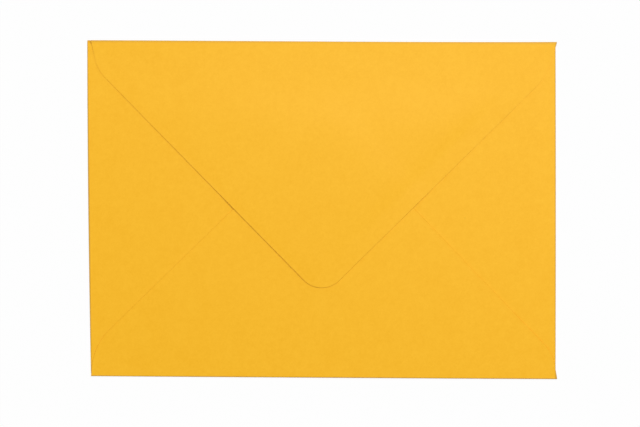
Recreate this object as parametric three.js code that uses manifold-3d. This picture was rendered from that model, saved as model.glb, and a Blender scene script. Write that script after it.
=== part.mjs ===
// A closed card envelope, folded and glued from one die-cut sheet of coloured paper.
// It lies on its front panel with the flaps up. Lengths are in millimetres and angles in degrees.
// +X runs along the folds at the foot and head, +Y from the foot to the head, and +Z up.

import * as THREE from "three";
import Module from "manifold-3d";

// The paper
const sheetThickness = 0.16;
const paperColour = 0xf7bb33;
const paperRoughness = 0.88;

// The closed envelope over its folds, at its middle
const foldedWidth = 184.4;
const foldedHeight = 132.9;

// How far the folds run out of true from end to end
const leftFoldLean = 1.5;
const headFoldFall = 0.7;
const footFoldFall = 1.2;

// The empty heights between the layers at the folds
const pocketGap = 0.3;
const glueFilm = 0.06;
const throatGap = 0.2;

// How far the empty pocket and the loose top flap spring up
const pocketRise = 0.7;
const topFlapSpring = 0.45;

// The top and bottom flaps, whose tips lie a little off the middle of their folds
const topFlapShort = 35.3;
const throatDepth = 34.5;
const topTipShift = -0.28;
const bottomTipShift = 0.6;
const flapTipRadius = 9.8;

// The ends of those flaps: how far each starts inside the fold's end, or stands proud of it where
// less than nothing, how far it leans inward, how far from the fold it would meet the long edge,
// and the radius of the shoulder between them
const topRightEnd = { clearance: -0.45, lean: 15.6, rise: 13.4, radius: 27 };
const topLeftEnd = { clearance: 1.3, lean: 12.8, rise: 11.7, radius: 16 };
const bottomLeftEnd = { clearance: 0.1, lean: 2, rise: 11.5, radius: 15 };
const bottomRightEnd = { clearance: -0.5, lean: 10, rise: 10.3, radius: 15 };

// The side flaps
const seamWidth = 12;
const sideFlapSpacing = 28;
const sideHeelAngle = 8;
const sideHeelRadius = 5;
const sideTipRadius = 10;

// The notches cut at the ends of the side folds
const notchHeadLeft = 0.9;
const notchHeadRight = 1.1;
const notchFootLeft = 0.9;
const notchFootRight = 1.1;

// The panel's own corner, which shows beside the top flap's left-hand end
const cornerSlit = 0.1;
const panelCornerRadius = 0.7;

// The glue line of a seam
const glueInset = 2;
const glueWidth = 8;
const glueEndMargin = 9;

// How finely the curves are divided
const bendSteps = 6;
const flapRows = 6;
const glueRows = 8;
const tipArcSteps = 10;
const shoulderArcSteps = 5;
const heelArcSteps = 3;
const panelCornerArcSteps = 3;
const sideTipArcSteps = 8;
const longEdgeSteps = 7;
const shortEdgeSteps = 1;

// Heights of the undersides of the flaps where they leave their folds
const sideLevel = sheetThickness + pocketGap;
const bottomLevel = sideLevel + sheetThickness + glueFilm;
const topLevel = bottomLevel + sheetThickness + throatGap;

// Corners of the closed envelope's outline, where its folds would meet
const footLeft = new THREE.Vector2(-foldedWidth / 2 + leftFoldLean / 2, -foldedHeight / 2 + footFoldFall / 2);
const footRight = new THREE.Vector2(foldedWidth / 2, -foldedHeight / 2 - footFoldFall / 2);
const headRight = new THREE.Vector2(foldedWidth / 2, foldedHeight / 2 - headFoldFall / 2);
const headLeft = new THREE.Vector2(-foldedWidth / 2 - leftFoldLean / 2, foldedHeight / 2 + headFoldFall / 2);

function lineFrom(point, target) {
  return { point: point.clone(), along: target.clone().sub(point).normalize() };
}

function leftOf(along) {
  return new THREE.Vector2(-along.y, along.x);
}

// The same line moved to its left.
function movedLeft(line, distance) {
  return { point: line.point.clone().addScaledVector(leftOf(line.along), distance), along: line.along };
}

function meet(a, b) {
  const reach = b.point.clone().sub(a.point).cross(b.along) / a.along.cross(b.along);
  return a.point.clone().addScaledVector(a.along, reach);
}

function onLine(line, point) {
  const distance = point.clone().sub(line.point).dot(line.along);
  return line.point.clone().addScaledVector(line.along, distance);
}

// A fold between two corners of the outline, with the panel on its left.
// The sheet leaves the panel at the fold's inner line, turns over, and comes back as a flap.
function makeFold(start, end, level) {
  const innerRadius = (level - sheetThickness) / 2;
  const outerRadius = innerRadius + sheetThickness;
  const outer = lineFrom(start, end);
  const middle = start.clone().lerp(end, 0.5);
  const halfLength = start.distanceTo(end) / 2;
  return { outer, inner: movedLeft(outer, outerRadius), middle, halfLength, innerRadius, level };
}

const footFold = makeFold(footLeft, footRight, bottomLevel);
const rightFold = makeFold(footRight, headRight, sideLevel);
const headFold = makeFold(headRight, headLeft, topLevel);
const leftFold = makeFold(headLeft, footLeft, sideLevel);

// The points along a run of straight edges, with an arc at each corner that has a radius.
// An arc takes no more than the whole of an end edge, or half of an edge between two corners.
function roundedRun(corners) {
  const points = [corners[0].at];
  const last = corners.length - 1;
  const edgeRoom = (i) => corners[i].at.distanceTo(corners[i - 1].at) * (i === 1 || i === last ? 0.95 : 0.5);
  const straightTo = (target, steps) => {
    const from = points.at(-1);
    for (let i = 1; i <= steps; i++) points.push(from.clone().lerp(target, i / steps));
  };
  for (let i = 1; i < last; i++) {
    const { at, radius, arcSteps, edgeSteps } = corners[i];
    const back = corners[i - 1].at.clone().sub(at).normalize();
    const ahead = corners[i + 1].at.clone().sub(at).normalize();
    const halfAngle = back.angleTo(ahead) / 2;
    const tangent = Math.min(radius / Math.tan(halfAngle), edgeRoom(i), edgeRoom(i + 1));
    const towardCentre = back.clone().add(ahead).normalize();
    const centre = at.clone().addScaledVector(towardCentre, tangent / Math.cos(halfAngle));
    const turn = (Math.PI - 2 * halfAngle) * Math.sign(ahead.cross(back));
    const arcStart = at.clone().addScaledVector(back, tangent);
    straightTo(arcStart, edgeSteps);
    for (let step = 1; step <= arcSteps; step++) {
      points.push(arcStart.clone().rotateAround(centre, (turn * step) / arcSteps));
    }
  }
  straightTo(corners[last].at, corners[last].edgeSteps);
  return points;
}

// A flap with leaning ends, rounded shoulders and a rounded tip, drawn as it lies on the envelope.
// Returns its outline and the two straight edges that run to its tip.
function pointedFlap(fold, depth, tipShift, firstEnd, lastEnd) {
  const { along } = fold.outer;
  const inward = leftOf(along);
  const place = (u, v) => fold.middle.clone().addScaledVector(along, u).addScaledVector(inward, v);
  const tipCentre = place(tipShift, depth - flapTipRadius);
  const sideAt = ({ clearance, lean, rise, radius }, side) => {
    const base = side * (fold.halfLength - clearance);
    const leanedIn = rise * Math.tan(THREE.MathUtils.degToRad(lean));
    const at = place(base - side * leanedIn, rise);
    const arm = tipCentre.clone().sub(at);
    const pastCentre = -side * Math.asin(flapTipRadius / arm.length());
    const toTip = { point: at, along: arm.normalize().rotateAround(new THREE.Vector2(), pastCentre) };
    const corner = { at, radius, arcSteps: shoulderArcSteps };
    return { base: onLine(fold.inner, place(base, 0)), corner, toTip };
  };
  const first = sideAt(firstEnd, -1);
  const last = sideAt(lastEnd, 1);
  const apex = meet(first.toTip, last.toTip);
  const outline = roundedRun([
    { at: first.base },
    { ...first.corner, edgeSteps: shortEdgeSteps },
    { at: apex, radius: flapTipRadius, arcSteps: tipArcSteps, edgeSteps: longEdgeSteps },
    { ...last.corner, edgeSteps: longEdgeSteps },
    { at: last.base, edgeSteps: shortEdgeSteps },
  ]);
  return { outline, firstEdge: first.toTip, lastEdge: lineFrom(apex, last.corner.at) };
}

const bottomFlap = pointedFlap(
  footFold,
  foldedHeight - throatDepth,
  bottomTipShift,
  bottomLeftEnd,
  bottomRightEnd,
);
const topFlap = pointedFlap(headFold, foldedHeight - topFlapShort, topTipShift, topRightEnd, topLeftEnd);

// A side flap runs from its fold's end at the foot to a point under the bottom flap, parallel to
// the bottom flap's edge and a seam's width inside it, and back to its fold's end at the head.
// Corners come in order from the foot; turn is 1 on the right-hand side and -1 on the left.
function sideFlapCorners(fold, bottomEdge, notchFoot, notchHead, turn) {
  const upward = fold.outer.along.clone().multiplyScalar(turn);
  const footEnd = meet(fold.inner, footFold.inner).addScaledVector(upward, notchFoot);
  const headEnd = meet(fold.inner, headFold.inner).addScaledVector(upward, -notchHead);
  const seamEdge = movedLeft(bottomEdge, -seamWidth);
  const inward = leftOf(fold.outer.along);
  const heelAngle = -turn * THREE.MathUtils.degToRad(sideHeelAngle);
  const heelDirection = inward.clone().rotateAround(new THREE.Vector2(), heelAngle);
  const heel = meet({ point: footEnd, along: heelDirection }, seamEdge);
  const reach = (foldedWidth - sideFlapSpacing) / 2;
  const tip = meet(seamEdge, movedLeft(fold.outer, reach));
  return { footEnd, heel, tip, headEnd, seamEdge };
}

const rightSide = sideFlapCorners(rightFold, bottomFlap.lastEdge, notchFootRight, notchHeadRight, 1);
const leftSide = sideFlapCorners(leftFold, bottomFlap.firstEdge, notchFootLeft, notchHeadLeft, -1);

function rightSideOutline({ footEnd, heel, tip, headEnd }) {
  return roundedRun([
    { at: footEnd },
    { at: heel, radius: sideHeelRadius, arcSteps: heelArcSteps, edgeSteps: shortEdgeSteps },
    { at: tip, radius: sideTipRadius, arcSteps: sideTipArcSteps, edgeSteps: longEdgeSteps },
    { at: headEnd, edgeSteps: longEdgeSteps },
  ]);
}

function leftSideOutline({ footEnd, heel, tip, headEnd }) {
  return roundedRun([
    { at: headEnd },
    { at: tip, radius: sideTipRadius, arcSteps: sideTipArcSteps, edgeSteps: longEdgeSteps },
    { at: heel, radius: sideHeelRadius, arcSteps: heelArcSteps, edgeSteps: longEdgeSteps },
    { at: footEnd, edgeSteps: shortEdgeSteps },
  ]);
}

// How far the pocket's back has sprung up over a point of the panel: nothing at the folds.
function riseAt({ x, y }) {
  const across = 1 - (x / (foldedWidth / 2)) ** 2;
  const upright = 1 - (y / (foldedHeight / 2)) ** 2;
  return pocketRise * Math.max(across, 0) * Math.max(upright, 0);
}

// The sheet as stations, each a point on its inner face and one on its outer face, and as
// triangles between stations, counter-clockwise when seen from the inner side.
class Sheet {
  constructor() {
    this.inner = [];
    this.outer = [];
    this.triangles = [];
  }

  station({ x, y }, innerHeight, outerHeight) {
    this.inner.push(new THREE.Vector3(x, y, innerHeight));
    return this.outer.push(new THREE.Vector3(x, y, outerHeight)) - 1;
  }

  triangle(a, b, c) {
    if (a !== b && b !== c && c !== a) this.triangles.push([a, b, c]);
  }

  // The strip between two rows of stations, with the second row to the right of the first.
  strip(row, next) {
    for (let i = 0; i + 1 < row.length; i++) {
      this.triangle(next[i], next[i + 1], row[i + 1]);
      this.triangle(next[i], row[i + 1], row[i]);
    }
  }

  // A closed body: both faces, and a wall along every edge that only one triangle has.
  solid() {
    const count = this.inner.length;
    const edges = new Set();
    const faces = [];
    for (const [a, b, c] of this.triangles) {
      for (const [from, to] of [[a, b], [b, c], [c, a]]) edges.add(from * count + to);
      faces.push(a, b, c, count + a, count + c, count + b);
    }
    for (const edge of edges) {
      const from = Math.floor(edge / count);
      const to = edge % count;
      if (edges.has(to * count + from)) continue;
      faces.push(to, from, count + from, to, count + from, count + to);
    }
    const places = [...this.inner, ...this.outer].flatMap((point) => point.toArray());
    return new wasm.Manifold(
      new wasm.Mesh({
        numProp: 3,
        vertProperties: new Float32Array(places),
        triVerts: new Uint32Array(faces),
      }),
    );
  }
}

// Turns the sheet over along a fold, from a row on the panel's edge to the row where the flap starts.
function addBend(sheet, fold, edgeRow) {
  const outward = leftOf(fold.outer.along).negate();
  const centreHeight = sheetThickness + fold.innerRadius;
  let row = edgeRow;
  for (let step = 1; step <= bendSteps; step++) {
    const angle = (Math.PI * step) / bendSteps;
    const next = edgeRow.map((station) => {
      const start = sheet.inner[station];
      const turned = (radius) => new THREE.Vector3(
        start.x + outward.x * radius * Math.sin(angle),
        start.y + outward.y * radius * Math.sin(angle),
        centreHeight - radius * Math.cos(angle),
      );
      sheet.inner.push(turned(fold.innerRadius));
      return sheet.outer.push(turned(fold.innerRadius + sheetThickness)) - 1;
    });
    sheet.strip(row, next);
    row = next;
  }
  return row;
}

// Lays a flap over the panel in rows, from its fold to its outline.
function addFlap(sheet, fold, outline, edgeRow, liftAt) {
  const foldPoints = outline.map((point) => onLine(fold.inner, point));
  const startRow = addBend(sheet, fold, edgeRow);
  const ends = [0, outline.length - 1];
  let row = startRow;
  for (let step = 1; step <= flapRows; step++) {
    const next = outline.map((point, i) => {
      if (ends.includes(i)) return startRow[i];
      const place = foldPoints[i].clone().lerp(point, step / flapRows);
      const height = fold.level + riseAt(place) + liftAt(place);
      return sheet.station(place, height, height + sheetThickness);
    });
    sheet.strip(row, next);
    row = next;
  }
}

// The panel's corner between the head fold and the left fold, a slit away from both bends.
// Takes the places where the bends end, and returns the stations of the rim between them.
function filledCorner(sheet, bendEnd, bendStart) {
  const leave = bendEnd.clone().addScaledVector(headFold.outer.along, cornerSlit);
  const arrive = bendStart.clone().addScaledVector(leftFold.outer.along, -cornerSlit);
  const sharp = { radius: 0, arcSteps: 0, edgeSteps: shortEdgeSteps };
  const outline = roundedRun([
    { at: leave },
    { at: onLine(headFold.outer, leave), ...sharp },
    { ...sharp, at: headLeft, radius: panelCornerRadius, arcSteps: panelCornerArcSteps },
    { at: onLine(leftFold.outer, arrive), ...sharp },
    { at: arrive, edgeSteps: shortEdgeSteps },
  ]);
  const [inside, ...edge] = [meet(headFold.inner, leftFold.inner), ...outline].map((place) =>
    sheet.station(place, sheetThickness, 0));
  for (let i = 0; i + 1 < edge.length; i++) sheet.triangle(inside, edge[i], edge[i + 1]);
  return [edge[0], inside, edge.at(-1)];
}

// The panel, its folds and its flaps, as one sheet.
function foldedSheet() {
  const sheet = new Sheet();
  const flat = () => 0;
  const springAt = (place) => {
    const depth = place.clone().sub(headFold.inner.point).dot(leftOf(headFold.inner.along));
    return (topFlapSpring * depth) / (foldedHeight - topFlapShort);
  };
  const bottom = { fold: footFold, outline: bottomFlap.outline, liftAt: flat };
  const right = { fold: rightFold, outline: rightSideOutline(rightSide), liftAt: flat };
  const top = { fold: headFold, outline: topFlap.outline, liftAt: springAt };
  const left = { fold: leftFold, outline: leftSideOutline(leftSide), liftAt: flat };
  const flaps = [bottom, right, top, left];
  const edgeRows = flaps.map(({ fold, outline }) =>
    outline.map((point) => sheet.station(onLine(fold.inner, point), sheetThickness, 0)));
  const topBendEnd = onLine(headFold.inner, top.outline.at(-1));
  const leftBendStart = onLine(leftFold.inner, left.outline[0]);
  const corner = filledCorner(sheet, topBendEnd, leftBendStart);
  const rim = [...edgeRows.slice(0, -1).flat(), ...corner, ...edgeRows.at(-1)];
  const middle = sheet.station(new THREE.Vector2(), sheetThickness, 0);
  rim.forEach((station, i) => sheet.triangle(middle, station, rim[(i + 1) % rim.length]));
  flaps.forEach(({ fold, outline, liftAt }, i) => addFlap(sheet, fold, outline, edgeRows[i], liftAt));
  return sheet.solid();
}

// The glue that holds the bottom flap's edge to a side flap. It reaches half-way into both sheets.
function glueSeam({ heel, tip, seamEdge }) {
  const glue = new Sheet();
  const { along } = seamEdge;
  const [start, end] = [heel, tip].sort((a, b) => a.dot(along) - b.dot(along));
  const first = start.clone().addScaledVector(along, glueEndMargin);
  const last = end.clone().addScaledVector(along, -glueEndMargin);
  const towardEdge = leftOf(along);
  const rowAt = (distance) => {
    const row = [];
    for (let step = 0; step <= glueRows; step++) {
      const place = first.clone().lerp(last, step / glueRows).addScaledVector(towardEdge, distance);
      const halfSheet = riseAt(place) + sheetThickness / 2;
      row.push(glue.station(place, bottomLevel + halfSheet, sideLevel + halfSheet));
    }
    return row;
  };
  const farSide = seamWidth - glueInset;
  glue.strip(rowAt(farSide), rowAt(farSide - glueWidth));
  return glue.solid();
}

const wasm = await Module();
wasm.setup();

const joined = foldedSheet().add(glueSeam(rightSide)).add(glueSeam(leftSide)).getMesh();
const geometry = new THREE.BufferGeometry();
geometry.setAttribute("position", new THREE.BufferAttribute(joined.vertProperties, joined.numProp));
geometry.setIndex(new THREE.BufferAttribute(joined.triVerts, 1));
geometry.computeVertexNormals();
geometry.computeBoundingBox();

const paper = new THREE.MeshStandardMaterial({ color: paperColour, roughness: paperRoughness, metalness: 0 });
const envelope = new THREE.Mesh(geometry, paper);
envelope.name = "envelope";

// The origin is under the middle of the envelope's box.
const boxMiddle = geometry.boundingBox.getCenter(new THREE.Vector3());
envelope.position.set(-boxMiddle.x, -boxMiddle.y, -geometry.boundingBox.min.z);

const group = new THREE.Group();
group.add(envelope);

export default group;
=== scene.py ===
"""Looks of a closed card envelope that lies on its front panel with its flaps up.

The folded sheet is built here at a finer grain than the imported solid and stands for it: the same
folds, flaps and heights, with the curl, droop and cockle that real paper has. Sizes are in
millimetres and become metres when a mesh or a lamp is made.
"""

import logging
import math
from collections.abc import Callable, Mapping, Sequence
from dataclasses import dataclass, field
from enum import Enum
from typing import NamedTuple

import bpy
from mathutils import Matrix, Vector, noise
from mathutils.geometry import delaunay_2d_cdt


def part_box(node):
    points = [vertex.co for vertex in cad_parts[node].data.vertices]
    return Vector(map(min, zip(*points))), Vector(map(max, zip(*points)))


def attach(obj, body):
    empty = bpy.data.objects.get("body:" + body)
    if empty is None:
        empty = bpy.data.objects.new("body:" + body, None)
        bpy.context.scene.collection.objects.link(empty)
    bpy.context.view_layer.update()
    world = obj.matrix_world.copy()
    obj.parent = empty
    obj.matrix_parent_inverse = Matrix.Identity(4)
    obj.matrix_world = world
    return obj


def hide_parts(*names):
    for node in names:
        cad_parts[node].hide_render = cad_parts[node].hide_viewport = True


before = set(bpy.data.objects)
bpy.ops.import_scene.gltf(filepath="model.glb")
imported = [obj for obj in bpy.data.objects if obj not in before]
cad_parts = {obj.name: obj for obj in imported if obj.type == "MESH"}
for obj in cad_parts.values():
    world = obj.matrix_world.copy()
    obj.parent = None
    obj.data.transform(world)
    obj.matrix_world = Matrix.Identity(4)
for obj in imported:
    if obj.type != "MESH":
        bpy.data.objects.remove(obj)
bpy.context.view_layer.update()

LOG = logging.getLogger("envelope")
MM = 0.001
SHEET_NODE = "envelope"


def placed(name: str, data: bpy.types.ID) -> bpy.types.Object:
    """Makes an object of a mesh, lamp or camera and puts it into the scene.

    Args:
        name: its name
        data: what it shows

    Returns:
        The object.
    """
    made = bpy.data.objects.new(name, data)
    bpy.context.scene.collection.objects.link(made)
    return made


# Plane geometry


@dataclass(frozen=True)
class Line:
    """A straight line in the plane of the panel.

    Args:
        point: a point on the line
        along: its unit direction
    """

    point: Vector
    along: Vector

    @classmethod
    def through(cls, start: Vector, end: Vector) -> "Line":
        """The line from one point towards another."""
        return cls(start.copy(), (end - start).normalized())

    def left(self) -> Vector:
        """The unit vector to the left of the line."""
        return Vector((-self.along.y, self.along.x))

    def moved_left(self, distance: float) -> "Line":
        """The same line moved to its left."""
        return Line(self.point + self.left() * distance, self.along)

    def meet(self, other: "Line") -> Vector:
        """The point where this line meets another.

        Args:
            other: a line that isn't parallel to this one

        Returns:
            The common point.
        """
        gap = other.point - self.point
        turn = self.along.x * other.along.y - self.along.y * other.along.x
        reach = (gap.x * other.along.y - gap.y * other.along.x) / turn
        return self.point + self.along * reach

    def nearest(self, place: Vector) -> Vector:
        """The point of the line that is nearest to a place."""
        return self.point + self.along * (place - self.point).dot(self.along)

    def offset(self, place: Vector) -> float:
        """How far a place lies to the left of the line."""
        return (place - self.point).dot(self.left())


@dataclass(frozen=True)
class Corner:
    """A corner of a flap's outline, rounded where it has a radius.

    Args:
        at: where its two edges would meet
        radius: radius of the arc
        arc_steps: how many chords the arc is divided into
    """

    at: Vector
    radius: float = 0.0
    arc_steps: int = 0


def turned(arm: Vector, angle: float) -> Vector:
    """A vector of the plane turned by an angle in radians."""
    c, s = math.cos(angle), math.sin(angle)
    return Vector((arm.x * c - arm.y * s, arm.x * s + arm.y * c))


def smooth(value: float) -> float:
    """A soft step from 0 at 0 to 1 at 1."""
    share = min(max(value, 0.0), 1.0)
    return share * share * (3 - 2 * share)


def soft_least(values: Sequence[float], blend: float) -> float:
    """The least of some values, rounded over where several are close.

    Args:
        values: the values
        blend: how far apart two values may be and still be rounded together

    Returns:
        A value a little under the least.
    """
    least = min(values)
    return least - blend * math.log(sum(math.exp((least - value) / blend) for value in values))


def rounded_run(corners: Sequence[Corner], grain: float) -> list[Vector]:
    """Points along a run of straight edges, with an arc at each rounded corner.

    Args:
        corners: the corners, of which the first and last are sharp ends
        grain: the longest step on a straight edge

    Returns:
        The points in order, ends included.
    """
    end_share, inner_share = 0.95, 0.5
    last = len(corners) - 1
    points = [corners[0].at.copy()]

    def edge_room(index: int) -> float:
        """The length of an edge that an arc at one of its ends may take."""
        length = (corners[index].at - corners[index - 1].at).length
        return length * (end_share if index in (1, last) else inner_share)

    def straight_to(target: Vector) -> None:
        """Adds the points of a straight edge.

        Args:
            target: where it ends
        """
        start = points[-1]
        steps = max(2, math.ceil((target - start).length / grain))
        points.extend(start.lerp(target, step / steps) for step in range(1, steps + 1))

    for index in range(1, last):
        corner = corners[index]
        back = (corners[index - 1].at - corner.at).normalized()
        ahead = (corners[index + 1].at - corner.at).normalized()
        half_angle = back.angle(ahead) / 2
        tangent = min(corner.radius / math.tan(half_angle), edge_room(index), edge_room(index + 1))
        centre = corner.at + (back + ahead).normalized() * (tangent / math.cos(half_angle))
        side = math.copysign(1, ahead.x * back.y - ahead.y * back.x)
        turn = (math.pi - 2 * half_angle) * side
        arc_start = corner.at + back * tangent
        straight_to(arc_start)
        for step in range(1, corner.arc_steps + 1):
            points.append(centre + turned(arc_start - centre, turn * step / corner.arc_steps))
    straight_to(corners[last].at)
    return points


# The folded sheet


@dataclass(frozen=True)
class FoldedSize:
    """The closed envelope over its folds, at its middle, and how far the folds run out of true."""

    width: float = 184.2
    height: float = 132.9
    left_lean: float = 1.5
    head_fall: float = 0.7
    foot_fall: float = 1.2
    left_bow: float = 0.33
    right_bow: float = 0.12
    head_bow: float = -0.16
    head_wave: float = -0.18
    foot_bow: float = 0.05

    def corners(self) -> tuple[Vector, Vector, Vector, Vector]:
        """The outline's corners, where its folds would meet.

        Returns:
            Foot left, foot right, head right and head left.
        """
        x, y = self.width / 2, self.height / 2
        lean, head, foot = self.left_lean / 2, self.head_fall / 2, self.foot_fall / 2
        return (
            Vector((lean - x, foot - y)),
            Vector((x, -y - foot)),
            Vector((x, y - head)),
            Vector((-x - lean, y + head)),
        )

    def shares(self, place: Vector) -> tuple[float, float]:
        """A place as shares of the half width and half height, from -1 to 1."""
        return 2 * place.x / self.width, 2 * place.y / self.height

    def bowed(self, place: Vector) -> Vector:
        """A place moved as the slight bows of the folds move it.

        Args:
            place: a point of the straight-sided envelope

        Returns:
            The point of the real one.
        """
        across, upright = self.shares(place)
        side_bow = self.right_bow if across > 0 else -self.left_bow
        end_bow = self.head_bow + self.head_wave * across if upright > 0 else -self.foot_bow
        return place + Vector((
            side_bow * across**2 * max(1 - upright**2, 0),
            end_bow * upright**2 * max(1 - across**2, 0),
        ))


@dataclass(frozen=True)
class Layers:
    """The paper's thickness and the heights at which the flaps leave their folds."""

    sheet: float = 0.16
    pocket_gap: float = 0.3
    glue_film: float = 0.06
    throat_gap: float = 0.14

    @property
    def side(self) -> float:
        """Underside of the side flaps."""
        return self.sheet + self.pocket_gap

    @property
    def bottom(self) -> float:
        """Underside of the bottom flap."""
        return self.side + self.sheet + self.glue_film

    @property
    def top(self) -> float:
        """Underside of the top flap, whose fold has only the side flaps under it."""
        return self.side + self.sheet + self.throat_gap


@dataclass(frozen=True)
class Fold:
    """One fold of the sheet, with the panel on its left.

    Args:
        start: the corner where it starts
        end: the corner where it ends
        level: height of the flap's underside
        sheet: the paper's thickness
    """

    start: Vector
    end: Vector
    level: float
    sheet: float

    @property
    def inner_radius(self) -> float:
        """Radius of the bend's inner face."""
        return (self.level - self.sheet) / 2

    @property
    def outer_radius(self) -> float:
        """Radius of the bend's outer face."""
        return self.inner_radius + self.sheet

    @property
    def outer(self) -> Line:
        """The outline's own line."""
        return Line.through(self.start, self.end)

    @property
    def inner(self) -> Line:
        """The line where the panel ends and the bend starts."""
        return self.outer.moved_left(self.outer_radius)

    @property
    def middle(self) -> Vector:
        """The middle of the fold."""
        return self.start.lerp(self.end, 0.5)


class Flap(NamedTuple):
    """A flap's fold and its outline, drawn as the flap lies on the envelope."""

    fold: Fold
    outline: list[Vector]


@dataclass(frozen=True)
class FlapEnd:
    """One end of a pointed flap.

    Args:
        clearance: from the fold's end to the flap, less than nothing where it stands proud
        lean: how far the end leans inward, in degrees
        rise: how far from the fold the end would meet the long edge
        radius: radius of the shoulder between them
    """

    clearance: float
    lean: float
    rise: float
    radius: float


@dataclass(frozen=True)
class PointedFlap:
    """A flap with leaning ends, rounded shoulders and a rounded tip.

    Args:
        fold: the fold that it hangs on
        depth: from the fold to the tip
        first: its end where the fold starts
        last: its end where the fold ends
        tip_shift: how far along the fold the tip lies off the fold's middle
        tip_radius: radius of the tip
    """

    fold: Fold
    depth: float
    first: FlapEnd
    last: FlapEnd
    tip_shift: float
    tip_radius: float
    shoulder_arc_steps: int = 16
    tip_arc_steps: int = 30

    def place(self, along: float, inward: float) -> Vector:
        """A place on the flap, from the middle of its fold."""
        line = self.fold.outer
        return self.fold.middle + line.along * along + line.left() * inward

    def base(self, end: FlapEnd, side: int) -> Vector:
        """Where an end meets the fold's outer line; side is -1 at its start and 1 at its end."""
        half = (self.fold.end - self.fold.start).length / 2
        return self.place(side * (half - end.clearance), 0)

    def shoulder(self, end: FlapEnd, side: int) -> Vector:
        """Where an end and a long edge would meet.

        Args:
            end: the end
            side: -1 for the end at the fold's start and 1 for that at its end

        Returns:
            The shoulder's sharp corner.
        """
        line = self.fold.outer
        lean = end.rise * math.tan(math.radians(end.lean))
        return self.base(end, side) + line.left() * end.rise - line.along * (side * lean)

    def shoulders(self) -> tuple[Vector, Vector]:
        """The first and last shoulder in the direction of the fold."""
        return self.shoulder(self.first, -1), self.shoulder(self.last, 1)

    def bases(self) -> tuple[Vector, Vector]:
        """The flap's two ends on the fold's inner line."""
        line = self.fold.inner
        return line.nearest(self.base(self.first, -1)), line.nearest(self.base(self.last, 1))

    def edges(self) -> tuple[Line, Line]:
        """The two long edges, each touching the tip's arc.

        Returns:
            The edge that leads to the tip and the one that leads from it.
        """
        first, last = self.shoulders()
        centre = self.place(self.tip_shift, self.depth - self.tip_radius)
        lines = []
        for shoulder, side in ((first, -1), (last, 1)):
            arm = centre - shoulder
            turn = -side * math.asin(self.tip_radius / arm.length)
            lines.append(Line(shoulder, turned(arm.normalized(), turn)))
        apex = lines[0].meet(lines[1])
        return Line.through(first, apex), Line.through(apex, last)

    def outline(self, grain: float) -> list[Vector]:
        """The flap's outline from one end of the fold to the other.

        Args:
            grain: the longest step on a straight edge

        Returns:
            Its points in order.
        """
        (first, last), (start, end) = self.shoulders(), self.bases()
        return rounded_run(
            [
                Corner(start),
                Corner(first, self.first.radius, self.shoulder_arc_steps),
                Corner(self.edges()[1].point, self.tip_radius, self.tip_arc_steps),
                Corner(last, self.last.radius, self.shoulder_arc_steps),
                Corner(end),
            ],
            grain,
        )

    def depth_at(self, place: Vector) -> float:
        """How far a place lies from the fold's inner line."""
        return self.fold.inner.offset(place)

    def from_edge(self, place: Vector) -> float:
        """How far a place lies inside the flap's cut edges, rounded at its corners."""
        tip_blend = 3.0
        return soft_least([line.offset(place) for line in self.cut_lines()], tip_blend)

    def cut_lines(self) -> list[Line]:
        """The lines of the four cut edges, each with the flap on its left.

        Returns:
            The first end, the two long edges and the last end.
        """
        (first, last), (start, end) = self.shoulders(), self.bases()
        to_tip, from_tip = self.edges()
        along = (Line.through(start, first), to_tip, from_tip, Line.through(last, end))
        return [Line(line.point, -line.along) for line in along]


@dataclass(frozen=True)
class SideFlaps:
    """The two glued side flaps, whose lower edges run a seam's width inside the bottom flap."""

    size: FoldedSize
    seam_width: float = 12.0
    spacing: float = 28.0
    heel_angle: float = 8.0
    heel_radius: float = 5.0
    tip_radius: float = 10.0
    heel_arc_steps: int = 8
    tip_arc_steps: int = 20

    def corners(
        self,
        folds: tuple[Fold, Fold, Fold],
        bottom_edge: Line,
        notches: tuple[float, float],
        turn: int,
    ) -> tuple[Vector, Vector, Vector, Vector]:
        """A side flap's corners, from its fold's end at the foot round to its end at the head.

        Args:
            folds: its own fold, the foot's and the head's
            bottom_edge: the long edge of the bottom flap above it
            notches: how far the notches at the foot and head reach along the fold
            turn: 1 for the right-hand flap and -1 for the left-hand one

        Returns:
            The foot end, heel, tip and head end.
        """
        own, foot, head = folds
        upward = own.outer.along * turn
        foot_end = own.inner.meet(foot.inner) + upward * notches[0]
        head_end = own.inner.meet(head.inner) - upward * notches[1]
        seam = bottom_edge.moved_left(-self.seam_width)
        heel_line = Line(foot_end, turned(own.outer.left(), -turn * math.radians(self.heel_angle)))
        reach = (self.size.width - self.spacing) / 2
        return foot_end, heel_line.meet(seam), seam.meet(own.outer.moved_left(reach)), head_end

    def outline(
        self, corners: tuple[Vector, Vector, Vector, Vector], turn: int, grain: float
    ) -> list[Vector]:
        """A side flap's outline in the direction of its fold.

        Args:
            corners: what the corners method returns
            turn: 1 for the right-hand flap and -1 for the left-hand one
            grain: the longest step on a straight edge

        Returns:
            Its points in order.
        """
        foot_end, heel, tip, head_end = corners
        run = [
            Corner(foot_end),
            Corner(heel, self.heel_radius, self.heel_arc_steps),
            Corner(tip, self.tip_radius, self.tip_arc_steps),
            Corner(head_end),
        ]
        return rounded_run(run[::turn], grain)


class Station(NamedTuple):
    """A place of the sheet: a point on its inner face and one on its outer face."""

    inner: Vector
    outer: Vector


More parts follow.
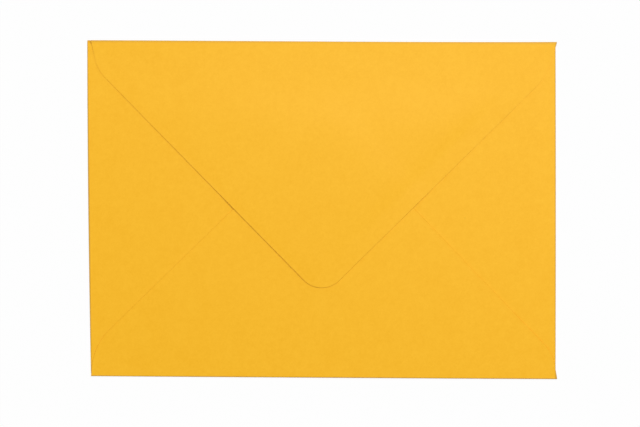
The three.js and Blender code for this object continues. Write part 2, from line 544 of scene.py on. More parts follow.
@dataclass
class SheetMesh:
    """A sheet of paper as stations and faces, counter-clockwise when seen from its inner side."""

    stations: list[Station] = field(default_factory=list)
    faces: list[tuple[int, ...]] = field(default_factory=list)

    def station(self, place: Vector, inner_height: float, outer_height: float) -> int:
        """Adds a station over a place of the panel's plane.

        Args:
            place: where it lies, seen from above
            inner_height: height of the inner face
            outer_height: height of the outer face

        Returns:
            Its number.
        """
        inner, outer = place.to_3d(), place.to_3d()
        inner.z, outer.z = inner_height, outer_height
        self.stations.append(Station(inner, outer))
        return len(self.stations) - 1

    def strip(self, row: Sequence[int], following: Sequence[int]) -> None:
        """Adds the strip between two rows.

        Args:
            row: the first row
            following: the second row, which lies to the right of the first
        """
        for i in range(len(row) - 1):
            ring = (following[i], following[i + 1], row[i + 1], row[i])
            face = tuple(dict.fromkeys(ring))
            if len(face) > 2:
                self.faces.append(face)

    def rims(self) -> list[list[int]]:
        """The loops of cut edge, each with the sheet on its left.

        Returns:
            The stations of each loop in order.
        """
        steps = {(a, b) for face in self.faces for a, b in zip(face, face[1:] + face[:1])}
        ahead = {a: b for a, b in steps if (b, a) not in steps}
        loops = []
        while ahead:
            first, station = ahead.popitem()
            loop = [first]
            while station != first:
                loop.append(station)
                station = ahead.pop(station)
            loops.append(loop)
        return loops

    def rim_rings(
        self, loop: Sequence[int], burr_at: Callable[[Vector], float]
    ) -> list[list[Vector]]:
        """The rings of points between the two faces along a cut edge, slightly bulged.

        Args:
            loop: the stations of the edge
            burr_at: how far the edge bulges at a place

        Returns:
            One ring nearer to the inner face and one nearer to the outer face.
        """
        levels = (0.22, 0.78)
        rings: list[list[Vector]] = [[] for _ in levels]
        for i, number in enumerate(loop):
            before = self.stations[loop[i - 1]]
            after = self.stations[loop[(i + 1) % len(loop)]]
            here = self.stations[number]
            run = after.inner - before.inner + after.outer - before.outer
            outward = run.cross(here.inner - here.outer).normalized()
            for ring, level in zip(rings, levels):
                burr = burr_at(here.outer.to_2d())
                ring.append(here.inner.lerp(here.outer, level) + outward * burr)
        return rings

    def to_object(
        self,
        name: str,
        shift: Vector,
        dress: Sequence[bpy.types.Material],
        burr_at: Callable[[Vector], float],
    ) -> bpy.types.Object:
        """Makes the closed mesh: both faces, and a slightly rounded wall along each cut edge.

        Args:
            name: the piece's name
            shift: how far it is moved, in millimetres
            dress: the finish of the faces and that of the cut edges, whose darker colour is painted shade
            burr_at: how far a cut edge bulges at a place

        Returns:
            The new object.
        """
        count = len(self.stations)
        points = [s.inner for s in self.stations] + [s.outer for s in self.stations]
        faces = list(self.faces)
        faces += [tuple(count + i for i in reversed(face)) for face in self.faces]
        flat_faces = len(faces)
        for loop in self.rims():
            rings = [list(loop)]
            for ring in self.rim_rings(loop, burr_at):
                rings.append(list(range(len(points), len(points) + len(ring))))
                points.extend(ring)
            rings.append([count + number for number in loop])
            size = len(loop)
            for upper, lower in zip(rings, rings[1:]):
                faces += [
                    (upper[(i + 1) % size], upper[i], lower[i], lower[(i + 1) % size])
                    for i in range(size)
                ]
        mesh = bpy.data.meshes.new(name)
        mesh.from_pydata([(p + shift) * MM for p in points], [], faces)
        for material in dress:
            mesh.materials.append(material)
        for polygon in mesh.polygons:
            polygon.use_smooth = True
            if polygon.index >= flat_faces:
                polygon.material_index = 1
        shared = {edge for p in mesh.polygons[:flat_faces] for edge in p.edge_keys}
        walls = {edge for p in mesh.polygons[flat_faces:] for edge in p.edge_keys}
        sharp = shared & walls
        for edge in mesh.edges:
            edge.use_edge_sharp = edge.key in sharp
        mesh.validate()
        return placed(name, mesh)


@dataclass(frozen=True)
class PaperLie:
    """How the paper lies between its folds: its rise, curl, droop and cockle."""

    size: FoldedSize
    layers: Layers
    top_flap: PointedFlap
    bottom_flap: PointedFlap
    pocket_rise: float = 0.7
    gap_at_shoulder: float = 0.04
    gap_at_tip: float = 0.37
    gap_growth: float = 0.85
    shoulder_depth: float = 16.0
    settle_depth: float = 8.0
    droop_share: float = 0.4
    droop_width: float = 3.4
    band_share: float = 0.68
    band_start: float = 0.3
    seam_press: float = 0.04
    seam_press_width: float = 3.0
    crease_lift: float = 0.55
    crease_from_edge: float = 6.6
    crease_blend: float = 1.0
    crease_width: float = 4.8
    crease_settle: float = 55.0
    crease_start: float = 14.0
    crease_grow: float = 22.0
    crease_end: float = 10.0
    crease_fade: float = 24.0
    seam_step_start: float = 10.0
    seam_step_width: float = 9.0
    cockle: float = 0.09
    cockle_length: float = 46.0
    cockle_margin: float = 9.0
    fine_cockle_ratio: float = 2.3
    fine_cockle_share: float = 0.35
    fine_seed_step: float = 5.0
    back_seed: float = 0.4
    panel_seed: float = 3.7
    panel_cockle: float = 0.05

    def rise(self, place: Vector) -> float:
        """How far the pocket's back has sprung up: nothing at the folds."""
        across, upright = self.size.shares(place)
        return self.pocket_rise * max(1 - across**2, 0) * max(1 - upright**2, 0)

    def inside(self, place: Vector) -> float:
        """A share that grows inward from the folds.

        Args:
            place: where it is asked for

        Returns:
            0 at the folds and 1 a margin inside them.
        """
        across, upright = self.size.shares(place)
        to_side = (1 - abs(across)) * self.size.width / 2
        to_end = (1 - abs(upright)) * self.size.height / 2
        return smooth(to_side / self.cockle_margin) * smooth(to_end / self.cockle_margin)

    def waviness(self, place: Vector, seed: float) -> float:
        """The paper's slow unevenness, about -1 to 1.

        Args:
            place: where it is asked for
            seed: one number for each layer

        Returns:
            Its share of the cockle's height.
        """
        where = Vector((place.x, place.y, 0)) / self.cockle_length
        where.z = seed
        fine = where * self.fine_cockle_ratio
        fine.z = seed + self.fine_seed_step
        height = noise.noise(where) + self.fine_cockle_share * noise.noise(fine)
        return height * self.inside(place)

    def panel(self, place: Vector) -> float:
        """How far the front panel lies above what it rests on."""
        return self.panel_cockle * (self.waviness(place, self.panel_seed) + self.inside(place))

    def base(self, place: Vector) -> float:
        """The common rise of everything above the pocket."""
        return self.rise(place) + self.cockle * self.waviness(place, self.back_seed)

    def side(self, place: Vector) -> float:
        """Underside of a side flap."""
        return self.layers.side + self.base(place)

    def bottom(self, place: Vector) -> float:
        """Underside of the bottom flap, pressed down along its glued edges.

        Args:
            place: a place of the flap

        Returns:
            Its height.
        """
        depth = self.bottom_flap.depth_at(place)
        edge = math.exp(-((self.bottom_flap.from_edge(place) / self.seam_press_width) ** 2))
        press = self.seam_press * edge * smooth((depth - self.shoulder_depth) / self.shoulder_depth)
        return self.layers.bottom + self.base(place) - press

    def top(self, place: Vector) -> float:
        """Underside of the top flap.

        Args:
            place: a place of the flap

        Returns:
            Its height, over a side flap, the bottom flap or the open pocket.
        """
        flap, layers = self.top_flap, self.layers
        depth = flap.depth_at(place)
        settle = smooth(depth / self.settle_depth)
        spread = max(depth - self.shoulder_depth, 0) / (flap.depth - self.shoulder_depth)
        growth = (self.gap_at_tip - self.gap_at_shoulder) * spread**self.gap_growth
        free_gap = self.gap_at_shoulder + growth
        from_edge = max(flap.from_edge(place), 0)
        free_gap *= 1 - self.droop_share * math.exp(-((from_edge / self.droop_width) ** 2))
        free_gap *= 1 - self.band_share * self.band(place) * smooth(spread / self.band_start)
        gap = layers.throat_gap + (free_gap - layers.throat_gap) * settle
        onto_bottom = self.bottom_flap.from_edge(place) + self.seam_step_start
        over_bottom = smooth(onto_bottom / self.seam_step_width)
        step = (layers.sheet + layers.glue_film) * over_bottom * settle
        return layers.side + layers.sheet + self.base(place) + gap + step + self.crease(place)

    def band(self, place: Vector) -> float:
        """Nearness to the flat band along the top flap's right-hand edge.

        Args:
            place: a place of the flap

        Returns:
            1 on the band and near 0 well inside it.
        """
        right_edge = self.top_flap.cut_lines()[1]
        beyond = max(right_edge.offset(place) - self.crease_from_edge, 0)
        return math.exp(-(beyond**2) / ((beyond + self.crease_blend) * self.crease_width))

    def crease(self, place: Vector) -> float:
        """The lift of the top flap inside that band.

        Args:
            place: a place of the flap

        Returns:
            How much higher the flap lies there.
        """
        flap = self.top_flap
        depth = flap.depth_at(place)
        grown = smooth((depth - self.crease_start) / self.crease_grow)
        faded = smooth((flap.depth - self.crease_end - depth) / self.crease_fade)
        settle = smooth(flap.cut_lines()[2].offset(place) / self.crease_settle)
        return self.crease_lift * grown * faded * settle * (1 - self.band(place))


class Crease(NamedTuple):
    """A fold's outer line in the row frame, and the width of its band of painted shade, in millimetres."""

    line: Line
    shade_width: float


@dataclass
class EnvelopeSheet:
    """The envelope's one die-cut sheet, folded and glued."""

    size: FoldedSize = field(default_factory=FoldedSize)
    layers: Layers = field(default_factory=Layers)
    throat_depth: float = 34.5
    top_flap_short: float = 35.6
    tip_radius: float = 9.8
    bottom_left: FlapEnd = FlapEnd(clearance=0.1, lean=6.0, rise=12.5, radius=24.0)
    bottom_right: FlapEnd = FlapEnd(clearance=-0.5, lean=10.0, rise=10.3, radius=15.0)
    bottom_tip_shift: float = 0.6
    top_right: FlapEnd = FlapEnd(clearance=-0.45, lean=15.6, rise=13.4, radius=27.0)
    top_left: FlapEnd = FlapEnd(clearance=1.6, lean=12.8, rise=11.7, radius=16.0)
    top_tip_shift: float = -0.45
    notch_foot: tuple[float, float] = (0.9, 1.1)
    notch_head: tuple[float, float] = (0.08, 1.1)
    slit: float = 0.06
    corner_radius: float = 0.7
    corner_arc_steps: int = 5
    grain: float = 2.2
    bend_steps: int = 12
    bend_settle: float = 4.0
    flap_rows: int = 40
    panel_grain: float = 2.6
    panel_margin: float = 0.35
    least_burr: float = 0.01
    full_burr: float = 0.053
    burr_reach: float = 70.0
    # Widths of the painted shade along the fold crests, widest at the head fold.
    side_fold_shade_width: float = 0.6
    head_fold_shade_width: float = 1.35

    def __post_init__(self) -> None:
        """Works out the folds, the flaps and the way that they lie."""
        sheet = self.layers.sheet
        foot_left, foot_right, head_right, head_left = self.size.corners()
        self.foot_fold = Fold(foot_left, foot_right, self.layers.bottom, sheet)
        self.right_fold = Fold(foot_right, head_right, self.layers.side, sheet)
        self.head_fold = Fold(head_right, head_left, self.layers.top, sheet)
        self.left_fold = Fold(head_left, foot_left, self.layers.side, sheet)
        height = self.size.height
        self.bottom_flap = PointedFlap(
            self.foot_fold, height - self.throat_depth, self.bottom_left, self.bottom_right,
            self.bottom_tip_shift, self.tip_radius,
        )
        self.top_flap = PointedFlap(
            self.head_fold, height - self.top_flap_short, self.top_right, self.top_left,
            self.top_tip_shift, self.tip_radius,
        )
        self.side_flaps = SideFlaps(self.size)
        self.lie = PaperLie(self.size, self.layers, self.top_flap, self.bottom_flap)
        first_edge, last_edge = self.bottom_flap.edges()
        self.left_corners = self.side_flaps.corners(
            (self.left_fold, self.foot_fold, self.head_fold),
            first_edge, (self.notch_foot[0], self.notch_head[0]), -1,
        )
        self.right_corners = self.side_flaps.corners(
            (self.right_fold, self.foot_fold, self.head_fold),
            last_edge, (self.notch_foot[1], self.notch_head[1]), 1,
        )

    def flaps(self) -> list[tuple[Flap, Callable[[Vector], float]]]:
        """The four flaps in order round the panel.

        Returns:
            Each flap with the height of its underside over a place.
        """
        right = self.side_flaps.outline(self.right_corners, 1, self.grain)
        left = self.side_flaps.outline(self.left_corners, -1, self.grain)
        return [
            (Flap(self.foot_fold, self.bottom_flap.outline(self.grain)), self.lie.bottom),
            (Flap(self.right_fold, right), self.lie.side),
            (Flap(self.head_fold, self.top_flap.outline(self.grain)), self.lie.top),
            (Flap(self.left_fold, left), self.lie.side),
        ]

    def add_bend(self, mesh: SheetMesh, fold: Fold, edge_row: Sequence[int]) -> list[int]:
        """Turns the sheet over along a fold.

        Args:
            mesh: the sheet
            fold: the fold
            edge_row: the stations at the panel's edge

        Returns:
            The row of stations where the flap starts.
        """
        outward = -fold.outer.left().to_3d()
        centre_height = self.layers.sheet + fold.inner_radius
        row = list(edge_row)
        for step in range(1, self.bend_steps + 1):
            angle = math.pi * step / self.bend_steps
            following = []
            for number in edge_row:
                start = mesh.stations[number].inner
                pair = []
                for radius in (fold.inner_radius, fold.outer_radius):
                    point = start + outward * (radius * math.sin(angle))
                    point.z = centre_height - radius * math.cos(angle)
                    pair.append(point)
                mesh.stations.append(Station(*pair))
                following.append(len(mesh.stations) - 1)
            mesh.strip(row, following)
            row = following
        return row

    def add_flap(
        self, mesh: SheetMesh, flap: Flap, height_at: Callable[[Vector], float], edge_row: Sequence[int]
    ) -> None:
        """Lays a flap over the panel, in rows that are close near the fold and near the outline.

        Args:
            mesh: the sheet
            flap: the flap
            height_at: height of its underside over a place
            edge_row: the stations at the panel's edge
        """
        fold, outline = flap
        roots = [fold.inner.nearest(point) for point in outline]
        start_row = self.add_bend(mesh, fold, edge_row)
        start_heights = [height_at(root) for root in roots]
        row = start_row
        last = len(outline) - 1
        for step in range(1, self.flap_rows + 1):
            share = (1 - math.cos(math.pi * step / self.flap_rows)) / 2
            following = []
            for i, point in enumerate(outline):
                if i in (0, last):
                    following.append(start_row[i])
                    continue
                place = roots[i].lerp(point, share)
                mismatch = start_heights[i] - fold.level
                fade = math.exp(-fold.inner.offset(place) / self.bend_settle)
                height = height_at(place) - mismatch * fade
                following.append(
                    mesh.station(self.size.bowed(place), height, height + self.layers.sheet)
                )
            mesh.strip(row, following)
            row = following

    def corner_run(self, bend_end: Vector, bend_start: Vector) -> list[Vector]:
        """The panel's own corner between the head fold and the left fold.

        Args:
            bend_end: where the head fold's bend ends, on the panel
            bend_start: where the left fold's bend starts, on the panel

        Returns:
            The places of the corner's edge, in order.
        """
        head, left = self.head_fold.outer, self.left_fold.outer
        leave = bend_end + head.along * self.slit
        arrive = bend_start - left.along * self.slit
        run = [
            Corner(leave),
            Corner(head.nearest(leave)),
            Corner(head.meet(left), self.corner_radius, self.corner_arc_steps),
            Corner(left.nearest(arrive)),
            Corner(arrive),
        ]
        return rounded_run(run, self.grain)

    def add_panel(
        self, mesh: SheetMesh, edge_rows: Sequence[list[int]], rows: Sequence[list[Vector]]
    ) -> None:
        """Fills the front panel between its folds with an even net of stations.

        Args:
            mesh: the sheet
            edge_rows: the stations where each bend starts
            rows: where those stations lie
        """
        folds = (self.foot_fold, self.right_fold, self.head_fold, self.left_fold)
        spare_ends, stagger, weld = 2, 0.25, 1e-7
        places: list[Vector] = []
        rim: list[int] = []
        inset = []
        for fold, numbers, row, following in zip(folds, edge_rows, rows, [*rows[1:], rows[0]]):
            places += row
            rim += numbers
            middle = row[spare_ends:-spare_ends]
            inset += [place + fold.outer.left() * self.panel_margin for place in middle]
            if fold is self.head_fold:
                corner = self.corner_run(row[-1], following[0])
                places += corner
                sheet = self.layers.sheet
                rim += [mesh.station(self.size.bowed(place), sheet, 0) for place in corner]
        count = len(rim)
        x_reach, y_reach = self.size.width / 2, self.size.height / 2
        columns = math.ceil(2 * x_reach / self.panel_grain)
        lines = math.ceil(2 * y_reach / self.panel_grain)
        net = []
        for j in range(1, lines):
            shift = -stagger if j % 2 else stagger
            for i in range(1, columns):
                place = Vector((
                    -x_reach + (i + shift) * 2 * x_reach / columns,
                    -y_reach + j * 2 * y_reach / lines,
                ))
                if min(fold.inner.offset(place) for fold in folds) > self.panel_grain:
                    net.append(place)
        ring = [(i, (i + 1) % count) for i in range(count)]
        made, _, faces, sources, _, _ = delaunay_2d_cdt(places + inset + net, ring, [], 1, weld)
        numbers = []
        for place, source in zip(made, sources):
            if source and source[0] < count:
                numbers.append(rim[source[0]])
                continue
            height = self.lie.panel(place)
            numbers.append(mesh.station(self.size.bowed(place), height + self.layers.sheet, height))
        mesh.faces.extend(tuple(numbers[i] for i in face) for face in faces)

    def folded(self) -> SheetMesh:
        """The panel, its folds and its flaps, as one sheet.

        Returns:
            The sheet, lying on its front panel.
        """
        mesh = SheetMesh()
        flaps = self.flaps()
        rows = [[flap.fold.inner.nearest(point) for point in flap.outline] for flap, _ in flaps]
        edge_rows = [
            [mesh.station(self.size.bowed(place), self.layers.sheet, 0) for place in row]
            for row in rows
        ]
        self.add_panel(mesh, edge_rows, rows)
        for (flap, height_at), edge_row in zip(flaps, edge_rows):
            self.add_flap(mesh, flap, height_at, edge_row)
        return mesh

    def burr(self, place: Vector) -> float:
        """How far a cut edge bulges: least near the head fold, which presses the sheets together."""
        share = smooth(self.head_fold.inner.offset(place) / self.burr_reach)
        return self.least_burr + (self.full_burr - self.least_burr) * share

    def creases(self, shift: Vector) -> list[Crease]:
        """The four folds, of which the one at the head gets the widest band of painted shade.

        Args:
            shift: how far the sheet is moved, in millimetres

        Returns:
            Their outer lines where the sheet lies, each with the width of its painted shade.
        """
        shaded = []
        for fold in (self.foot_fold, self.right_fold, self.head_fold, self.left_fold):
            width = self.head_fold_shade_width if fold is self.head_fold else self.side_fold_shade_width
            shaded.append(Crease(Line(fold.start + shift.to_2d(), fold.outer.along), width))
        return shaded

    def build(self, paper: "PaperFinish", cut_edge: "CutEdgeShadeFinish") -> list[bpy.types.Object]:
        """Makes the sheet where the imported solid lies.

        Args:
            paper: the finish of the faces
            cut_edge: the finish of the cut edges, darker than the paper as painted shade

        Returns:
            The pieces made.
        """
        mesh = self.folded()
        low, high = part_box(SHEET_NODE)
        xs = [s.outer.x for s in mesh.stations]
        ys = [s.outer.y for s in mesh.stations]
        middle = (low + high) / (2 * MM)
        shift = Vector((
            middle.x - (min(xs) + max(xs)) / 2,
            middle.y - (min(ys) + max(ys)) / 2,
            low.z / MM,
        ))
        dress = (paper.make(self.creases(shift)), cut_edge.make())
        piece = mesh.to_object("folded_sheet", shift, dress, self.burr)
        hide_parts(SHEET_NODE)
        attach(piece, "root")
        return [piece]


# Finishes


class Value:
    """A socket's output that takes part in sums, as numbers do."""

    def __init__(self, shader: "Shader", socket: bpy.types.NodeSocket | None) -> None:
        """Wraps a socket of a shader's tree."""
        self.shader = shader
        self.socket = socket

    def math(self, operation: str, *values: "Value | float", clamp: bool = False) -> "Value":
        """A Math node on some values.

        Args:
            operation: the node's operation
            values: its inputs in order
            clamp: whether the result is held between 0 and 1

        Returns:
            Its result.
        """
        settings = {"operation": operation, "use_clamp": clamp}
        return self.shader.node("ShaderNodeMath", settings, dict(enumerate(values)))

    def __add__(self, other: "Value | float") -> "Value":
        """This value plus another."""
        return self.math("ADD", self, other)

    def __radd__(self, other: float) -> "Value":
        """A number plus this value."""
        return self.math("ADD", other, self)

    def __sub__(self, other: "Value | float") -> "Value":
        """This value less another."""
        return self.math("SUBTRACT", self, other)

    def __rsub__(self, other: float) -> "Value":
        """A number less this value."""
        return self.math("SUBTRACT", other, self)

    def __mul__(self, other: "Value | float") -> "Value":
        """This value times another."""
        return self.math("MULTIPLY", self, other)

    def __rmul__(self, other: float) -> "Value":
        """A number times this value."""
        return self.math("MULTIPLY", other, self)

    def __truediv__(self, other: "Value | float") -> "Value":
        """This value divided by another."""
        return self.math("DIVIDE", self, other)

    def __rtruediv__(self, other: float) -> "Value":
        """A number divided by this value."""
        return self.math("DIVIDE", other, self)

    def __pow__(self, other: float) -> "Value":
        """This value to a power."""
        return self.math("POWER", self, other)

    def __rpow__(self, other: float) -> "Value":
        """A number to the power of this value."""
        return self.math("POWER", other, self)

    def __abs__(self) -> "Value":
        """This value without its sign."""
        return self.math("ABSOLUTE", self)

    def most(self, other: "Value | float") -> "Value":
        """The larger of this value and another."""
        return self.math("MAXIMUM", self, other)

    def under(self, limit: float) -> "Value":
        """1 where this value is under a limit, and 0 elsewhere."""
        return self.math("LESS_THAN", self, limit)

    def held(self) -> "Value":
        """This value held between 0 and 1."""
        return self.math("ADD", self, 0.0, clamp=True)


class Shader:
    """A material's or the world's node tree, built by expressions."""

    def __init__(self, owner: bpy.types.Material | bpy.types.World) -> None:
        """Empties a node tree and keeps it.

        Args:
            owner: the material or world that has it
        """
        owner.use_nodes = True
        self.tree = owner.node_tree
        self.tree.nodes.clear()

    def node(
        self,
        kind: str,
        settings: Mapping[str, object] | None = None,
        sockets: Mapping[str | int, object] | None = None,
        output: str | int = 0,
    ) -> Value:
        """Adds one node.

        Args:
            kind: its type
            settings: its properties, set before its sockets
            sockets: a value or a link for each input, by name or number
            output: the output that is wanted

        Returns:
            That output.
        """
        made = self.tree.nodes.new(kind)
        for name, value in (settings or {}).items():
            setattr(made, name, value)
        for key, value in (sockets or {}).items():
            if isinstance(value, Value):
                self.tree.links.new(value.socket, made.inputs[key])
            else:
                made.inputs[key].default_value = value
        return Value(self, made.outputs[output]) if made.outputs else Value(self, None)

    def position(self) -> Value:
        """The place on the piece, in metres in the row frame."""
        return self.node("ShaderNodeTexCoord", output="Object")

    def turned(self, where: Value, degrees: float, scale: tuple[float, float, float]) -> Value:
        """Coordinates turned about the vertical and stretched.

        Args:
            where: the coordinates
            degrees: the turn
            scale: the stretch along each axis

        Returns:
            The new coordinates.
        """
        turn = self.node(
            "ShaderNodeVectorRotate",
            {"rotation_type": "Z_AXIS"},
            {"Vector": where, "Angle": math.radians(degrees)},
        )
        return self.node("ShaderNodeVectorMath", {"operation": "MULTIPLY"}, {0: turn, 1: scale})

    def noise(self, where: Value, grain: "Grain") -> Value:
        """Cloudy noise around 0.5.

        Args:
            where: the coordinates
            grain: its size

        Returns:
            The noise.
        """
        scale, detail, rough = grain
        sockets = {"Vector": where, "Scale": scale, "Detail": detail, "Roughness": rough}
        return self.node("ShaderNodeTexNoise", {}, sockets, "Fac")

    def mix(self, factor: Value | float, first: object, second: object) -> Value:
        """A colour between two.

        Args:
            factor: 0 for the first and 1 for the second
            first: a colour or a link
            second: a colour or a link

        Returns:
            The colour.
        """
        settings = {"data_type": "RGBA"}
        return self.node("ShaderNodeMix", settings, {0: factor, 6: first, 7: second}, 2)

    def bump(self, height: Value, distance: float, strength: float) -> Value:
        """A bump from a height.

        Args:
            height: the height as a share of the distance
            distance: the relief's full height, in metres
            strength: how strongly it shows

        Returns:
            The bent normal.
        """
        sockets = {"Height": height, "Distance": distance, "Strength": strength}
        return self.node("ShaderNodeBump", {}, sockets, "Normal")

    def finish(self, surface: Value, output: str = "ShaderNodeOutputMaterial") -> None:
        """Joins a shader to the tree's output."""
        self.node(output, {}, {"Surface": surface})


class Grain(NamedTuple):
    """A noise's blobs to a metre, how many finer layers it has and how strong they are."""

    scale: float
    detail: float
    rough: float


def new_material(name: str) -> tuple[bpy.types.Material, Shader]:
    """Makes an empty material, and the shader that fills it."""
    material = bpy.data.materials.new(name)
    return material, Shader(material)


@dataclass(frozen=True)
class Colour:
    """A colour as linear shares of red, green and blue."""

    red: float
    green: float
    blue: float

    def rgba(self, gain: float = 1.0) -> tuple[float, float, float, float]:
        """The colour made lighter or darker, for a socket."""
        return self.red * gain, self.green * gain, self.blue * gain, 1.0


@dataclass(frozen=True)
class PaperFinish:
    """Dyed uncoated paper: cloudy formation, a felt of fibres, fine tooth and a few flecks, with painted
    shade along its fold crests.
    """

    name: str
    thin: Colour = Colour(0.9, 0.438, 0.001)
    thick: Colour = Colour(0.982, 0.526, 0.017)
    # Colour of the dark flecks in the paper, and of the painted shade on the fold crests.
    fleck_and_fold_shade: Colour = Colour(0.64, 0.34, 0.03)
    roughness: float = 0.5
    specular: float = 0.28
    cloud_depth: float = 0.3
    floc_depth: float = 0.8
    grain_depth: float = 0.7
    fibre_depth: float = 0.12
    fleck_depth: float = 0.12
    clouds: Grain = Grain(95, 3.0, 0.55)
    flocs: Grain = Grain(520, 3.0, 0.6)
    grain: Grain = Grain(1500, 2.0, 0.6)
    tooth: Grain = Grain(5200, 2.0, 0.6)
    thread: Grain = Grain(1.0, 1.0, 0.5)
    thread_runs: tuple[tuple[float, float, float], ...] = (
        (12, 700, 7600),
        (63, 820, 8600),
        (118, 760, 8100),
        (161, 640, 7000),
    )
    thread_level: float = 3200.0
    thread_sharpness: float = 9.0
    roughness_spread: float = 0.12
    fleck_scale: float = 125.0
    fleck_size: float = 0.03
    fleck_chance: float = 0.09
    fleck_shade: float = 0.45
    tooth_share: float = 0.55
    fibre_share: float = 0.3
    floc_share: float = 0.15
    tooth_height: float = 0.000012
    tooth_strength: float = 0.6
    # How strongly the fold crests are darkened, as painted shade.
    fold_shade: float = 0.95
    fold_shade_curve: float = 1.5

    def fibres(self, shader: Shader, where: Value) -> Value:
        """The felt of fibres, as fine crossing threads.

        Args:
            shader: the tree
            where: the coordinates

        Returns:
            About 0.5 on average.
        """
        threads = None
        for angle, along, across in self.thread_runs:
            stretched = shader.turned(where, angle, (along, across, self.thread_level))
            ridge = abs(shader.noise(stretched, self.thread) - 0.5)
            thread = (1 - ridge * self.thread_sharpness).held()
            threads = thread if threads is None else threads.most(thread)
        return threads

    def fold_shade_mask(self, shader: Shader, where: Value, creases: Sequence[Crease]) -> Value:
        """Nearness to the folds, for painted shade: 1 on a fold's crest and 0 beyond its shaded band.

        Args:
            shader: the tree
            where: the coordinates
            creases: the folds

        Returns:
            The mask.
        """
        shaded = None
        for crease in creases:
            left = crease.line.left()
            reach = shader.node(
                "ShaderNodeVectorMath",
                {"operation": "DOT_PRODUCT"},
                {0: where, 1: (left.x, left.y, 0.0)},
                "Value",
            )
            share = 1 - (reach - left.dot(crease.line.point) * MM) / (crease.shade_width * MM)
            shaded = share if shaded is None else shaded.most(share)
        return shaded.held()

    def make(self, creases: Sequence[Crease]) -> bpy.types.Material:
        """Makes the material.

        Args:
            creases: the folds, whose crests are darkened as painted shade

        Returns:
            The material.
        """
        material, shader = new_material(self.name)
        where = shader.position()
        clouds = shader.noise(where, self.clouds)
        flocs = shader.noise(where, self.flocs)
        grain = shader.noise(where, self.grain)
        fibres = self.fibres(shader, where)
        tooth = shader.noise(where, self.tooth)
        depth = (clouds - 0.5) * self.cloud_depth + (flocs - 0.5) * self.floc_depth + 0.5
        depth = depth + (grain - 0.5) * self.grain_depth + (fibres - 0.5) * self.fibre_depth
        tone = shader.mix(depth.held(), self.thin.rgba(), self.thick.rgba())
        cells = {"Vector": where, "Scale": self.fleck_scale, "Randomness": 1.0}
        distance = shader.node("ShaderNodeTexVoronoi", {}, cells, "Distance")
        pick = shader.node("ShaderNodeTexVoronoi", {}, cells, "Color")
        chance = shader.node("ShaderNodeSeparateColor", {}, {"Color": pick}, "Red")
        flecks = distance.under(self.fleck_size) * chance.under(self.fleck_chance)
        tone = shader.mix(flecks * self.fleck_depth, tone, self.fleck_and_fold_shade.rgba(self.fleck_shade))
        # Painted shade: the fold crests are darkened towards a duller orange.
        fold_shade = self.fold_shade_mask(shader, where, creases) ** self.fold_shade_curve * self.fold_shade
        tone = shader.mix(fold_shade, tone, self.fleck_and_fold_shade.rgba())
        relief = tooth * self.tooth_share + fibres * self.fibre_share + flocs * self.floc_share
        normal = shader.bump(relief, self.tooth_height, self.tooth_strength)
        surface = shader.node(
            "ShaderNodeBsdfPrincipled",
            {},
            {
                "Base Color": tone,
                "Roughness": self.roughness + (fibres - 0.5) * self.roughness_spread,
                "Specular IOR Level": self.specular,
                "Normal": normal,
            },
        )
        shader.finish(surface)
        return material


@dataclass(frozen=True)
class CutEdgeShadeFinish:
    """The die-cut edge, where the torn ends of the fibres show, coloured darker than the paper as painted
    shade for the crevice beside each flap's edge.
    """

    name: str
    # Darker than the paper: painted shade for the crevice beside each cut edge.
    colour: Colour = Colour(0.74, 0.3, 0.004)
    darker: float = 0.86
    lighter: float = 1.08
    ends: Grain = Grain(9000, 2.0, 0.7)
    relief: float = 0.00002
    relief_strength: float = 0.7
    roughness: float = 0.95
    specular: float = 0.15

    def make(self) -> bpy.types.Material:
        """Makes the material.

        Returns:
            The material.
        """
        material, shader = new_material(self.name)
        where = shader.position()
        ends = shader.noise(where, self.ends)
        sockets = {
            "Base Color": shader.mix(ends, self.colour.rgba(self.darker), self.colour.rgba(self.lighter)),
            "Roughness": self.roughness,
            "Specular IOR Level": self.specular,
            "Normal": shader.bump(ends, self.relief, self.relief_strength),
        }
        shader.finish(shader.node("ShaderNodeBsdfPrincipled", {}, sockets))
        return material


# The studio


class Ray(Enum):
    """The rays that see the plain white surround."""

    CAMERA = "Is Camera Ray"
    GLOSSY = "Is Glossy Ray"
    TRANSMISSION = "Is Transmission Ray"


def sees_white(shader: Shader) -> Value:
    """1 for the rays that see the white surround, and 0 for those that carry light.

    Args:
        shader: the tree

    Returns:
        The mask.
    """
    seen = None
    for ray in Ray:
        value = shader.node("ShaderNodeLightPath", {}, {}, ray.value)
        seen = value if seen is None else seen.most(value)
    return seen


@dataclass(frozen=True)
class SoftLamp:
    """A square soft box that points at the envelope.

    Args:
        name: its name
        azimuth: where it stands, in degrees from +X towards +Y
        elevation: its height, in degrees above the table
        distance: how far off it stands, in metres
        width: its width, in metres
        level: the share of a written colour that it lights on the table
    """

    name: str
    azimuth: float
    elevation: float
    distance: float
    width: float
    level: float

    def make(self) -> bpy.types.Object:
        """Makes the lamp.

        Returns:
            Its object.
        """
        turn, tilt = math.radians(self.azimuth), math.radians(self.elevation)
        toward = Vector((math.cos(turn) * math.cos(tilt), math.sin(turn) * math.cos(tilt), math.sin(tilt)))
        light = bpy.data.lights.new(self.name, "AREA")
        light.shape = "SQUARE"
        light.size = self.width
        light.energy = self.level * math.pi**2 * self.distance**2 / math.sin(tilt)
        lamp = placed(self.name, light)
        lamp.location = toward * self.distance
        lamp.rotation_euler = toward.to_track_quat("Z", "Y").to_euler()
        return lamp


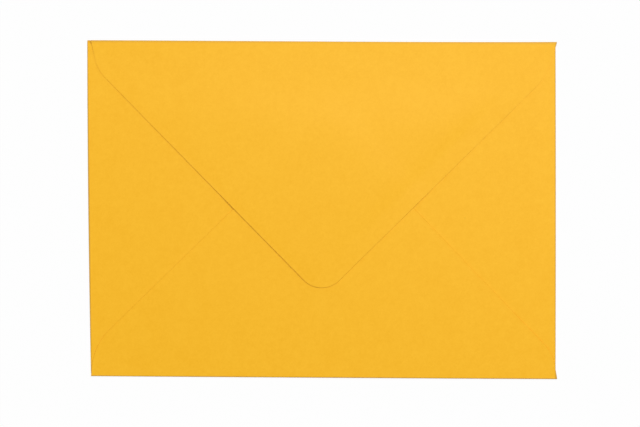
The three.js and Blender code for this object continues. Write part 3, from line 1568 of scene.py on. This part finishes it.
@dataclass(frozen=True)
class Studio:
    """The pale table, the soft boxes and the white surround."""

    overhead: SoftLamp = SoftLamp(
        "overhead_soft_box", azimuth=75, elevation=64, distance=1.8, width=1.2, level=0.54
    )
    key: SoftLamp = SoftLamp(
        "key_soft_box", azimuth=44, elevation=52, distance=2.4, width=1.0, level=0.22
    )
    ambient: float = 0.29
    table_width: float = 6.0
    table_drop: float = 0.02
    table_shade: float = 0.93
    white_share: float = 0.9

    def table(self) -> bpy.types.Object:
        """Makes the table, which keeps the envelope's faint shadow.

        Returns:
            Its object.
        """
        reach, height = self.table_width / 2, -self.table_drop * MM
        mesh = bpy.data.meshes.new("table_top")
        corners = [(-reach, -reach), (reach, -reach), (reach, reach), (-reach, reach)]
        mesh.from_pydata([(x, y, height) for x, y in corners], [], [(0, 1, 2, 3)])
        material, shader = new_material("white_table")
        shade = (self.table_shade,) * 3 + (1.0,)
        matte = shader.node("ShaderNodeBsdfDiffuse", {}, {"Color": shade, "Roughness": 1.0})
        white = shader.node("ShaderNodeEmission", {}, {"Strength": 1.0})
        factor = sees_white(shader) * self.white_share
        shader.finish(shader.node("ShaderNodeMixShader", {}, {0: factor, 1: matte, 2: white}))
        mesh.materials.append(material)
        table = placed("table_top", mesh)
        return table

    def surround(self) -> bpy.types.World:
        """Makes the world: an even soft light that looks plain white.

        Returns:
            The world.
        """
        world = bpy.data.worlds.new("white_surround")
        shader = Shader(world)
        strength = sees_white(shader) * (1 - self.ambient) + self.ambient
        light = shader.node("ShaderNodeBackground", {}, {"Color": (1.0,) * 4, "Strength": strength})
        shader.finish(light, "ShaderNodeOutputWorld")
        bpy.context.scene.world = world
        return world

    def build(self) -> None:
        """Makes the table, the world and both lamps."""
        self.table()
        self.surround()
        for lamp in (self.overhead, self.key):
            lamp.make()


@dataclass(frozen=True)
class OverheadCamera:
    """The camera straight above the envelope, as the photograph was taken."""

    lens: float = 85.0
    sensor: float = 36.0
    view_width: float = 252.5
    centre_x: float = -0.8
    centre_y: float = -1.51
    plane_height: float = 1.0

    def build(self) -> bpy.types.Object:
        """Makes the camera and gives it to the scene.

        Returns:
            Its object.
        """
        data = bpy.data.cameras.new("overhead_camera")
        data.lens = self.lens
        data.sensor_width = self.sensor
        camera = placed("overhead_camera", data)
        distance = self.view_width * self.lens / self.sensor
        camera.location = Vector((self.centre_x, self.centre_y, self.plane_height + distance)) * MM
        bpy.context.scene.camera = camera
        return camera


def main() -> None:
    """Builds the camera, the studio and the envelope, and reports each piece."""
    logging.basicConfig(level=logging.INFO, format="%(name)s: %(message)s")
    bpy.context.scene.view_settings.view_transform = "Standard"
    OverheadCamera().build()
    Studio().build()
    envelope = EnvelopeSheet()
    for piece in envelope.build(PaperFinish("dyed_paper"), CutEdgeShadeFinish("paper_cut_edge_painted_shade")):
        LOG.info("%s: %d faces", piece.name, len(piece.data.polygons))


if __name__ == "__main__":
    main()
